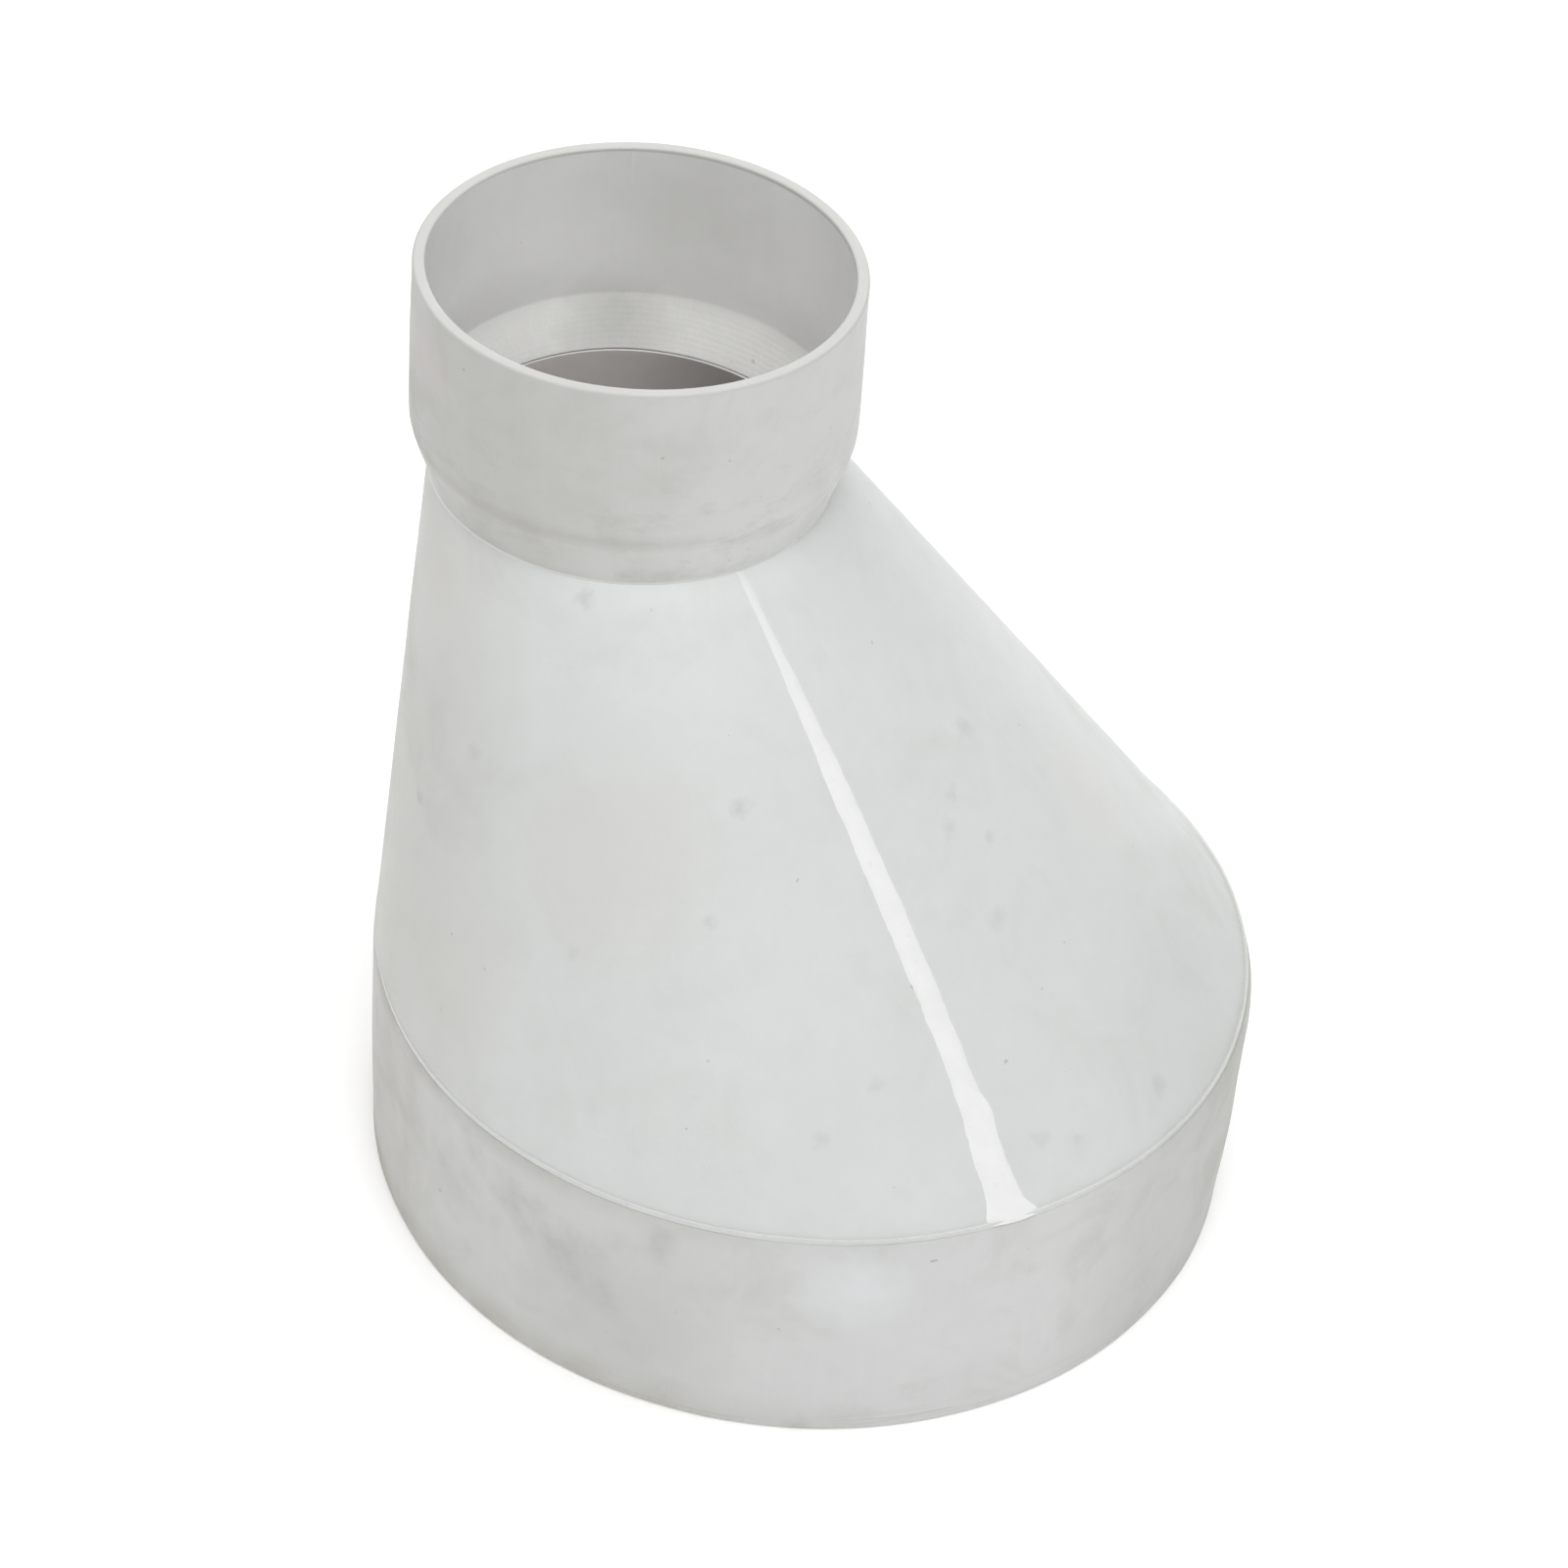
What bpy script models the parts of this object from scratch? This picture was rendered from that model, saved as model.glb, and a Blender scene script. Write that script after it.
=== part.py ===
"""Eccentric pipe reducer, 225 to 110, fabricated by hand from rigid PVC.

A large collar cut from pipe carries an oblique cone rolled from one sheet, and a short
necked piece of the smaller pipe stands on the cone's top. The cone closes on itself along
one straight seam. Three weld beads hold the pieces together: one in that seam, one around
the neck and one around the base. Nothing moves.

Metres, +Z up. The origin is the centre of the collar's lower end. The small end is offset
towards -X, so that the -X side is nearly straight and the +X side slopes.
"""

import math

import bmesh
import bpy
from mathutils import Matrix, Vector

# Large end: a collar that takes a pipe of 225 mm.
COLLAR_OUTER_R = 0.1160
COLLAR_WALL = 0.0032
COLLAR_HEIGHT = 0.0670
COLLAR_EDGE = 0.0006
EDGE_MIDDLE = 0.3

# Small end: a piece of 110 mm pipe, straight and then necked in towards the cone.
SMALL_OUTER_R = 0.0550
SMALL_WALL = 0.0032
SMALL_EDGE = 0.0003
STRAIGHT_LENGTH = 0.0430
NECK_OUTER_R = 0.0511
NECK_WALL = 0.0029
SHOULDER_ROUND = 0.0180

# The cone between them, and the whole height.
NECK_JOINT_Z = 0.1980
TOTAL_HEIGHT = 0.2560
SHEET = 0.0030

# The small end's outside lines up with the collar's outside on the -X side.
OFFSET_X = SMALL_OUTER_R - COLLAR_OUTER_R

# The cone's seam: its direction seen from the middle of each joint's circle, which drifts a
# little because the sheet's edges aren't quite on one straight line of the cone. Its groove
# is wider at the base than at the neck on the outside, and even on the inside.
SEAM_AZIMUTH_BASE = math.radians(-39.1)
SEAM_AZIMUTH_NECK = math.radians(-32.3)
SEAM_ROOT = 0.0014
SEAM_ROOT_LEAST = 0.0003
SEAM_WIDTH_NECK = 0.0028
SEAM_WIDTH_BASE = 0.0086
SEAM_CROWN_NECK = 0.0006
SEAM_CROWN_BASE = 0.0011

# The V groove of both round joints: its depth, and half its width at the outside.
GROOVE_DEPTH = 0.0014
GROOVE_HALF = 0.0012
BEAD_PROUD = 0.0003
BEAD_TRIM = 0.00003

# The clearance left between touching pieces, and how far cutters reach past what they cut.
GAP = 0.0003
BEYOND = 0.003
BEYOND_ENDS = 0.010

# Faceting.
STEPS = 96
SEAM_ROWS = 24
CROWN_STEPS = 8
BEAD_STEPS = 4
SHOULDER_STEPS = 4
SMOOTH_ANGLE = math.radians(25)


def clear_scene():
    for obj in list(bpy.data.objects):
        bpy.data.objects.remove(obj, do_unlink=True)


def new_collection(name):
    collection = bpy.data.collections.new(name)
    bpy.context.scene.collection.children.link(collection)
    return collection


def plastic(name, colour, roughness):
    material = bpy.data.materials.new(name)
    material.use_nodes = True
    shader = material.node_tree.nodes["Principled BSDF"]
    shader.inputs["Base Color"].default_value = (*colour, 1.0)
    shader.inputs["Roughness"].default_value = roughness
    shader.inputs["Metallic"].default_value = 0.0
    return material


def add_object(name, mesh, collection, material=None):
    obj = bpy.data.objects.new(name, mesh)
    collection.objects.link(obj)
    if material:
        mesh.materials.append(material)
    return obj


def mark_cutter(obj):
    obj.hide_render = True
    obj.display_type = "WIRE"


def turned(name, profile, centre_x, collection, material=None):
    """A ring turned about the upright axis at centre_x from a closed profile of (radius, z)
    points, which runs down its outer side and up its inner side."""
    count = len(profile)
    mesh = bpy.data.meshes.new(name)
    points = [(radius, 0.0, z) for radius, z in profile]
    edges = [(i, (i + 1) % count) for i in range(count)]
    mesh.from_pydata(points, edges, [])
    obj = add_object(name, mesh, collection, material)
    obj.location.x = centre_x
    screw = obj.modifiers.new("turn", "SCREW")
    screw.steps = STEPS
    screw.render_steps = STEPS
    screw.use_merge_vertices = True
    screw.merge_threshold = 0.00001
    return obj


def frustum(name, low_z, low_circle, high_z, high_circle, collection, material=None):
    """A closed oblique cone between two level circles, each given as (centre x, radius)."""
    (low_x, low_r), (high_x, high_r) = low_circle, high_circle
    height = high_z - low_z
    shape = bmesh.new()
    bmesh.ops.create_cone(
        shape, cap_ends=True, segments=STEPS, radius1=low_r, radius2=high_r, depth=height
    )
    lean = Matrix.Shear("XY", 4, ((high_x - low_x) / height, 0.0))
    middle = Vector(((low_x + high_x) / 2, 0.0, (low_z + high_z) / 2))
    shape.transform(Matrix.Translation(middle) @ lean)
    mesh = bpy.data.meshes.new(name)
    shape.to_mesh(mesh)
    shape.free()
    return add_object(name, mesh, collection, material)


def share(z):
    """How far up the cone a height is, from 0 at the base joint to 1 at the neck joint."""
    return (z - COLLAR_HEIGHT) / (NECK_JOINT_Z - COLLAR_HEIGHT)


def between(low, high, t):
    return low + t * (high - low)


def at_height(z, low_circle, high_circle):
    """The cone's circle, (centre x, radius), at height z, given its circles at both joints."""
    return tuple(between(low, high, share(z)) for low, high in zip(low_circle, high_circle))


def outside_circles():
    return (0.0, COLLAR_OUTER_R), (OFFSET_X, NECK_OUTER_R)


def inside_circles():
    """The outer circles moved in so that the sheet is as thick on the sloping side as on the
    straight side: a level cut through a leaning wall is wider than the wall is thick."""
    height = NECK_JOINT_Z - COLLAR_HEIGHT
    shrink = COLLAR_OUTER_R - NECK_OUTER_R
    cut_slope = SHEET * math.hypot(1.0, (shrink - OFFSET_X) / height)
    cut_straight = SHEET * math.hypot(1.0, (shrink + OFFSET_X) / height)
    inset = (cut_slope + cut_straight) / 2
    shift = (cut_straight - cut_slope) / 2
    return tuple((x + shift, r - inset) for x, r in outside_circles())


def seam_frame(z):
    """The seam at height z on the cone's outside: its point, the direction up the cone there,
    the direction across it, and the outward normal."""
    azimuth = between(SEAM_AZIMUTH_BASE, SEAM_AZIMUTH_NECK, share(z))
    centre_x, radius = at_height(z, *outside_circles())
    around = Vector((math.cos(azimuth), math.sin(azimuth), 0.0))
    point = Vector((centre_x, 0.0, z)) + around * radius
    rise = Vector((OFFSET_X, 0.0, NECK_JOINT_Z - COLLAR_HEIGHT))
    along = (rise - around * (COLLAR_OUTER_R - NECK_OUTER_R)).normalized()
    tangent = Vector((-around.y, around.x, 0.0))
    normal = tangent.cross(along).normalized()
    return point, along, along.cross(normal), normal


def lofted_seam(name, section, low_z, high_z, collection, material=None):
    """A bar along the seam. section(t) gives its outline as (across, outward) points, with t
    from 0 at the base joint to 1 at the neck joint; each outline is laid level."""
    shape = bmesh.new()
    rings = []
    for row in range(SEAM_ROWS + 1):
        z = between(low_z, high_z, row / SEAM_ROWS)
        middle, along, across, normal = seam_frame(z)
        ring = []
        for side, out in section(share(z)):
            point = middle + across * side + normal * out
            point = point + along * ((z - point.z) / along.z)
            ring.append(shape.verts.new(point))
        rings.append(ring)
    count = len(rings[0])
    for low, high in zip(rings, rings[1:]):
        for i in range(count):
            j = (i + 1) % count
            shape.faces.new((low[i], low[j], high[j], high[i]))
    shape.faces.new(list(reversed(rings[0])))
    shape.faces.new(rings[-1])
    bmesh.ops.recalc_face_normals(shape, faces=shape.faces)
    mesh = bpy.data.meshes.new(name)
    shape.to_mesh(mesh)
    shape.free()
    return add_object(name, mesh, collection, material)


def seam_width(t):
    return between(SEAM_WIDTH_BASE, SEAM_WIDTH_NECK, t)


def seam_slope(t):
    """How far each side of the groove leans out for each metre of depth."""
    return (seam_width(t) - SEAM_ROOT) / (2 * SHEET)


def groove_section(t):
    """The seam's groove, carried on past both faces of the sheet."""
    inner = SEAM_ROOT / 2
    outer = seam_width(t) / 2 + seam_slope(t) * BEYOND
    return [(-inner, -SHEET - BEYOND), (inner, -SHEET - BEYOND), (inner, -SHEET),
            (outer, BEYOND), (-outer, BEYOND), (-inner, -SHEET)]


def weld_section(t):
    """The weld that fills the groove with a small gap on each side, under a round crown."""
    side_gap = GAP * math.hypot(1.0, seam_slope(t))
    root = max(SEAM_ROOT / 2 - side_gap, SEAM_ROOT_LEAST / 2)
    half = seam_width(t) / 2 - side_gap
    crown = between(SEAM_CROWN_BASE, SEAM_CROWN_NECK, t)
    points = [(-root, -SHEET + GAP), (root, -SHEET + GAP)]
    for i in range(CROWN_STEPS + 1):
        angle = math.pi * i / CROWN_STEPS
        points.append((half * math.cos(angle), crown * math.sin(angle)))
    return points


def groove_ring(name, radius, z, centre_x, collection):
    """The cutter of a round joint's V groove."""
    outer = radius + BEYOND
    half = GROOVE_HALF * (GROOVE_DEPTH + BEYOND) / GROOVE_DEPTH
    profile = [(outer, z + half), (outer, z - half), (radius - GROOVE_DEPTH, z)]
    cutter = turned(name, profile, centre_x, collection)
    mark_cutter(cutter)
    return cutter


def bead_profile(radius, z):
    """A bead lying in a round joint's V groove, clear of both of its sides and a little
    narrower than the groove, so that its edges stay clear too."""
    lean = math.hypot(GROOVE_DEPTH, GROOVE_HALF) / GROOVE_HALF
    root = radius - GROOVE_DEPTH + GAP * lean
    half = GROOVE_HALF * (radius - root) / GROOVE_DEPTH - BEAD_TRIM
    points = []
    for i in range(BEAD_STEPS + 1):
        angle = math.pi / 2 - math.pi * i / BEAD_STEPS
        points.append((radius + BEAD_PROUD * math.cos(angle), z + half * math.sin(angle)))
    points.append((root, z))
    return points


def boolean(obj, operation, cutter):
    modifier = obj.modifiers.new(cutter.name, "BOOLEAN")
    modifier.operation = operation
    modifier.solver = "EXACT"
    modifier.object = cutter


def large_collar(collection, material):
    outer, inner = COLLAR_OUTER_R, COLLAR_OUTER_R - COLLAR_WALL
    top = COLLAR_HEIGHT - GAP / 2
    edge = COLLAR_EDGE
    bevel = edge * EDGE_MIDDLE
    profile = [
        (outer - GROOVE_DEPTH, top),
        (outer, top - GROOVE_HALF),
        (outer, edge),
        (outer - bevel, bevel),
        (outer - edge, 0.0),
        (inner + edge, 0.0),
        (inner, edge),
        (inner, top),
    ]
    return turned("large_collar", profile, 0.0, collection, material)


def shoulder(corner, upright_to_slope, radius):
    """The round between the straight pipe and its necked part: an arc that touches the
    upright line above the corner and the sloping line below it."""
    corner_r, corner_z = corner
    reach = radius * math.tan(upright_to_slope / 2)
    centre_r, centre_z = corner_r - radius, corner_z + reach
    points = []
    for i in range(SHOULDER_STEPS + 1):
        angle = -upright_to_slope * i / SHOULDER_STEPS
        points.append((centre_r + radius * math.cos(angle), centre_z + radius * math.sin(angle)))
    return points


def small_socket(collection, material):
    top = TOTAL_HEIGHT
    bottom = NECK_JOINT_Z + GAP / 2
    bend_z = TOTAL_HEIGHT - STRAIGHT_LENGTH
    outer, inner = SMALL_OUTER_R, SMALL_OUTER_R - SMALL_WALL
    neck_inner = NECK_OUTER_R - NECK_WALL
    edge = SMALL_EDGE
    turn_out = math.atan2(outer - NECK_OUTER_R, bend_z - bottom)
    turn_in = math.atan2(inner - neck_inner, bend_z - bottom)
    groove_r = NECK_OUTER_R + (outer - NECK_OUTER_R) * GROOVE_HALF / (bend_z - bottom)
    profile = [(outer - edge, top), (outer, top - edge)]
    profile += shoulder((outer, bend_z), turn_out, SHOULDER_ROUND)
    profile += [
        (groove_r, bottom + GROOVE_HALF),
        (NECK_OUTER_R - GROOVE_DEPTH, bottom),
        (neck_inner, bottom),
    ]
    profile += reversed(shoulder((inner, bend_z), turn_in, SHOULDER_ROUND - SMALL_WALL))
    profile += [(inner, top - edge), (inner + edge, top)]
    return turned("small_socket", profile, OFFSET_X, collection, material)


def round_welds(collection, material):
    base = bead_profile(COLLAR_OUTER_R, COLLAR_HEIGHT)
    neck = bead_profile(NECK_OUTER_R, NECK_JOINT_Z)
    turned("base_weld", base, 0.0, collection, material)
    turned("neck_weld", neck, OFFSET_X, collection, material)


def cone_and_seam(collection, cutters, sheet, weld):
    """The rolled cone and the weld along its seam, both cut by the round joints' grooves."""
    low_z, high_z = COLLAR_HEIGHT + GAP / 2, NECK_JOINT_Z - GAP / 2
    low_out, high_out = (at_height(z, *outside_circles()) for z in (low_z, high_z))
    hollow_z = (low_z - BEYOND_ENDS, high_z + BEYOND_ENDS)
    low_in, high_in = (at_height(z, *inside_circles()) for z in hollow_z)

    cone = frustum("cone_shell", low_z, low_out, high_z, high_out, collection, sheet)
    hollow = frustum("cone_hollow", hollow_z[0], low_in, hollow_z[1], high_in, cutters)
    groove = lofted_seam("seam_groove", groove_section, *hollow_z, cutters)
    mark_cutter(hollow)
    mark_cutter(groove)
    base_ring = groove_ring("base_groove", COLLAR_OUTER_R, COLLAR_HEIGHT, 0.0, cutters)
    neck_ring = groove_ring("neck_groove", NECK_OUTER_R, NECK_JOINT_Z, OFFSET_X, cutters)
    seam = lofted_seam("cone_seam_weld", weld_section, low_z, high_z, collection, weld)

    boolean(cone, "DIFFERENCE", hollow)
    boolean(cone, "DIFFERENCE", groove)
    for piece in (cone, seam):
        boolean(piece, "DIFFERENCE", base_ring)
        boolean(piece, "DIFFERENCE", neck_ring)


def settle(collection):
    """Applies the modifiers, then shades round faces smooth and keeps real edges sharp."""
    bpy.context.view_layer.update()
    graph = bpy.context.evaluated_depsgraph_get()
    finished = {}
    for obj in collection.objects:
        finished[obj] = bpy.data.meshes.new_from_object(obj.evaluated_get(graph))
    for obj, mesh in finished.items():
        obj.modifiers.clear()
        obj.data = mesh
        mesh.name = obj.name
        mesh.shade_smooth()
        mesh.set_sharp_from_angle(angle=SMOOTH_ANGLE)


def main():
    clear_scene()
    parts = new_collection("eccentric_reducer")
    cutters = new_collection("cutters")
    pipe = plastic("pipe_pvc", (0.57, 0.58, 0.56), 0.55)
    sheet = plastic("sheet_pvc", (0.68, 0.70, 0.69), 0.45)
    weld = plastic("weld_pvc", (0.82, 0.82, 0.81), 0.25)
    large_collar(parts, pipe)
    small_socket(parts, pipe)
    round_welds(parts, weld)
    cone_and_seam(parts, cutters, sheet, weld)
    settle(parts)


main()
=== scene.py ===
"""Looks of an eccentric pipe reducer, fabricated by hand from rigid PVC and standing on its
large end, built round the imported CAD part.

Each CAD node is replaced by a finer piece of the same size in the same place: two cuts of
pipe, the cone rolled from one sheet, and the three weld beads that hold them together.
Metres, +Z up, in the CAD's frame.
"""

import math

import bmesh
import bpy
from mathutils import Euler, Matrix, Vector, noise


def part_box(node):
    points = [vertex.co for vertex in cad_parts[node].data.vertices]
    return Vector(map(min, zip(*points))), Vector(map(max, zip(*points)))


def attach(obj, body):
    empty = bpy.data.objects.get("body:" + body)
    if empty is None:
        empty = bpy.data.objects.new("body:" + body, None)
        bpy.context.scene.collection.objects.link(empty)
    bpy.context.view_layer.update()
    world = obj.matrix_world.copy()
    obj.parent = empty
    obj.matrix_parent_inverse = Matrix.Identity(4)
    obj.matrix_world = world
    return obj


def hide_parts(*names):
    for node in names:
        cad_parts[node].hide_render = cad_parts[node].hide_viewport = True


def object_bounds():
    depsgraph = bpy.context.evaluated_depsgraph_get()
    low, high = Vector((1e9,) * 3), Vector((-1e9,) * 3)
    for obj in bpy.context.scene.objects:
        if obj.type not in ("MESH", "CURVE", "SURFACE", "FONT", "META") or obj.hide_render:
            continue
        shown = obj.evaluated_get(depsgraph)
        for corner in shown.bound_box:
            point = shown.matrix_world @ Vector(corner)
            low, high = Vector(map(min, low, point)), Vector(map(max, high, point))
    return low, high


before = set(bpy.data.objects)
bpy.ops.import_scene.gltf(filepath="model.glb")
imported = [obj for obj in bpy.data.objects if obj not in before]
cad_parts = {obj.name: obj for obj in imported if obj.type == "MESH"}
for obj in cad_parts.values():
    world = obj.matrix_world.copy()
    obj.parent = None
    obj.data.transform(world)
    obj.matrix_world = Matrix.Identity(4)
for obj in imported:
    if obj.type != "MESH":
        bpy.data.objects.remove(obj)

CAD_LOW, CAD_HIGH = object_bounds()
MM = 0.001
WHITE = (1.0, 1.0, 1.0, 1.0)

# Sides of the part as the camera sees it: azimuths from +X in degrees.
RIGHT, LEFT, FAR = 22, -158, 112

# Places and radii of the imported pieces.
COLLAR_LOW, COLLAR_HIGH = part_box("large_collar")
CONE_LOW, CONE_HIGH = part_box("cone_shell")
SOCKET_LOW, SOCKET_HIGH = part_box("small_socket")
NECK_BEAD_LOW, NECK_BEAD_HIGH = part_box("neck_weld")
BEAD_PROUD = 0.3 * MM
COLLAR_R = (COLLAR_HIGH.x - COLLAR_LOW.x) / 2
SMALL_R = (SOCKET_HIGH.x - SOCKET_LOW.x) / 2
SMALL_X = (SOCKET_HIGH.x + SOCKET_LOW.x) / 2
NECK_R = (NECK_BEAD_HIGH.x - NECK_BEAD_LOW.x) / 2 - BEAD_PROUD
TOP_Z = SOCKET_HIGH.z
BASE_Z = (COLLAR_HIGH.z + CONE_LOW.z) / 2
NECK_Z = (CONE_HIGH.z + SOCKET_LOW.z) / 2

# Walls, edges and the necked part of the small end.
COLLAR_WALL = 3.2 * MM
SHEET = 3.0 * MM
SMALL_WALL = 3.2 * MM
NECK_WALL = 2.9 * MM
STRAIGHT = 43.0 * MM
BEND_Z = TOP_Z - STRAIGHT
SHOULDER_ROUND = 18 * MM
INNER_BEND_ROUND = 4 * MM
RIM_ROUND = 0.75 * MM
RING_PITCH = 1.5 * MM
RING_HEIGHT = 0.022 * MM

# Clearance on each side of a round joint, and the edges broken after sawing.
HALF_GAP = 0.1 * MM
OUTER_CHAMFER = 0.9 * MM
INNER_CHAMFER = 0.6 * MM

# Unevenness that all pieces share: reach, amount and seed.
LONG_WAVES = (70 * MM, 0.45 * MM, 3.1)
SHORT_WAVES = (22 * MM, 0.12 * MM, 8.4)

# Where the collar and the small end are out of round: side, how far out. Then how far the
# collar's lower end is shifted, and how much higher the rim is on one side.
COLLAR_OVAL = ((RIGHT, 1.7 * MM), (LEFT, 0.3 * MM))
SOCKET_OVAL = ((RIGHT, 1.0 * MM), (LEFT, 1.0 * MM), (FAR, 0.5 * MM))
COLLAR_SKEW = Vector((0.8 * MM, -0.6 * MM, 0.0))
RIM_TILT = 0.5 * MM
RIM_HIGH_SIDE = 85

# What rolling left on the sheet: the ridge along the seam and faint ribs.
SEAM_RIDGE = 0.35 * MM
SEAM_RIDGE_REACH = 0.16
RIB_HEIGHT = 0.10 * MM

# The seam's direction at both ends, and its groove in the sheet.
SEAM_AZIMUTH_BASE = math.radians(-39.1)
SEAM_AZIMUTH_NECK = math.radians(-32.3)
SEAM_ROOT = 1.4 * MM
SEAM_GROOVE_BASE = 7.0 * MM
SEAM_GROOVE_NECK = 1.8 * MM

# Mesh density.
AROUND = 288
MOST_STEP = 2.6 * MM
FINE_STEP = 0.45 * MM

# The camera: bearing from the part's front and height in degrees, tilt about its own axis,
# distance, aim and lens.
CAMERA_AZIMUTH = 21.85
CAMERA_ELEVATION = 39.93
CAMERA_ROLL = 5.18
CAMERA_DISTANCE = 1.1484
CAMERA_AIM = Vector((-0.0103, -0.0041, 0.1158))
CAMERA_LENS = 102.0


# Shapes

def waviness(point, reach, amount, seed):
    """Smooth unevenness of about the given reach: a distance between -amount and amount."""
    return amount * noise.noise(point / reach + Vector((seed, seed * 0.37, -seed)))


def handled(point, axis_x):
    """Where a point of a perfect shape ends up on this hand-made one. All pieces share it, so
    neighbours still meet at their joints."""
    out = Vector((point.x - axis_x, point.y, 0.0))
    if out.length < 1e-6:
        return point
    out.normalize()
    shift = waviness(point, *LONG_WAVES) + waviness(point, *SHORT_WAVES)
    return point + out * shift


def outline(corners, most_step=MOST_STEP):
    """A closed outline in two dimensions with rounded corners and no long steps. Each corner
    is (u, v, rounding)."""
    points = []
    count = len(corners)
    for i, (u, v, rounding) in enumerate(corners):
        corner = Vector((u, v))
        before = Vector(corners[i - 1][:2]) - corner
        after = Vector(corners[(i + 1) % count][:2]) - corner
        inside = before.angle(after)
        reach = min(rounding / math.tan(inside / 2), before.length * 0.49, after.length * 0.49)
        start = corner + before.normalized() * reach
        end = corner + after.normalized() * reach
        turn = math.pi - inside
        steps = max(2, round(turn / math.radians(18))) if reach > 0 else 0
        for k in range(steps + 1):
            t = k / steps if steps else 0.0
            points.append(start.lerp(corner, t).lerp(corner.lerp(end, t), t))
    dense = []
    for i, here in enumerate(points):
        ahead = points[(i + 1) % len(points)]
        parts = max(1, math.ceil((ahead - here).length / most_step))
        dense += [here.lerp(ahead, k / parts) for k in range(parts)]
    return dense


def sweep(name, sections, closed):
    """A closed skin over a row of outlines with the same number of points. closed joins the
    last outline to the first; otherwise both ends are capped."""
    count = len(sections[0])
    rows = len(sections)
    points = [point for section in sections for point in section]
    faces = []
    for row in range(rows if closed else rows - 1):
        here, ahead = row * count, (row + 1) % rows * count
        for i in range(count):
            j = (i + 1) % count
            faces.append((here + i, here + j, ahead + j, ahead + i))
    if not closed:
        faces.append(tuple(range(count)))
        faces.append(tuple(range(len(points) - 1, len(points) - count - 1, -1)))
    mesh = bpy.data.meshes.new(name)
    mesh.from_pydata(points, [], faces)
    shape = bmesh.new()
    shape.from_mesh(mesh)
    bmesh.ops.recalc_face_normals(shape, faces=shape.faces)
    shape.to_mesh(mesh)
    shape.free()
    mesh.shade_smooth()
    mesh.set_sharp_from_angle(angle=math.radians(50))
    piece = bpy.data.objects.new(name, mesh)
    bpy.context.scene.collection.objects.link(piece)
    return piece


def ring(name, corners, axis_x, shape=handled, most_step=MOST_STEP):
    """A turned ring about the upright axis at axis_x, from corners of (radius, z, rounding)."""
    profile = outline(corners, most_step)
    sections = []
    for step in range(AROUND):
        azimuth = math.tau * step / AROUND
        around = Vector((math.cos(azimuth), math.sin(azimuth), 0.0))
        middle = Vector((axis_x, 0.0, 0.0))
        section = [middle + around * radius + Vector((0.0, 0.0, z)) for radius, z in profile]
        sections.append([shape(point, axis_x) for point in section])
    return sweep(name, sections, closed=True)


# A face looks inward when its normal leans more than this much towards the axis.
LOOKS_INWARD = -0.35


def line_inside(piece, axis_at, material):
    """Gives the faces that look towards the axis a material of their own. axis_at(z) is the
    axis's x at height z."""
    piece.data.materials.append(material)
    for face in piece.data.polygons:
        centre = face.center
        out = Vector((centre.x - axis_at(centre.z), centre.y, 0.0)).normalized()
        if face.normal.dot(out) < LOOKS_INWARD:
            face.material_index = 1


def finish_piece(piece, node, material):
    piece.data.materials.append(material)
    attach(piece, "root")
    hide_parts(node)
    return piece


def oval(out, sides):
    """How far an out-of-round pipe stands out in the level direction out."""
    azimuth = math.atan2(out.y, out.x)
    return sum(amount * max(0.0, math.cos(azimuth - math.radians(side))) ** 2
               for side, amount in sides)


def ramp(value, low, high):
    """Smoothly from 0 at low to 1 at high."""
    t = min(max((value - low) / (high - low), 0.0), 1.0)
    return t * t * (3 - 2 * t)


def large_collar(material):
    outer, inner = COLLAR_R, COLLAR_R - COLLAR_WALL
    top = BASE_Z - HALF_GAP
    corners = [
        (outer, top - 0.55 * MM, 0.3 * MM),
        (outer, OUTER_CHAMFER, 0.8 * MM),
        (outer - OUTER_CHAMFER, 0.0, 0.3 * MM),
        (inner + INNER_CHAMFER, 0.0, 0.4 * MM),
        (inner, INNER_CHAMFER, 0.4 * MM),
        (inner, top, 0.2 * MM),
        (outer - 0.6 * MM, top, 0.3 * MM),
    ]

    def sawn(point, axis_x):
        """The collar is a little out of round under its joint, and its lower end is shifted
        but stays flat on the floor."""
        out = Vector((point.x, point.y, 0.0)).normalized()
        share = ramp(BASE_Z - point.z, -2 * MM, 5 * MM) * ramp(point.z, 0.0, 32 * MM)
        moved = handled(point, axis_x) + out * oval(out, COLLAR_OVAL) * share
        moved += COLLAR_SKEW * (1 - ramp(point.z, 0.0, 45 * MM))
        moved.z = point.z
        return moved

    piece = ring("large_collar_pipe", corners, 0.0, sawn)
    return finish_piece(piece, "large_collar", material)


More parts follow.
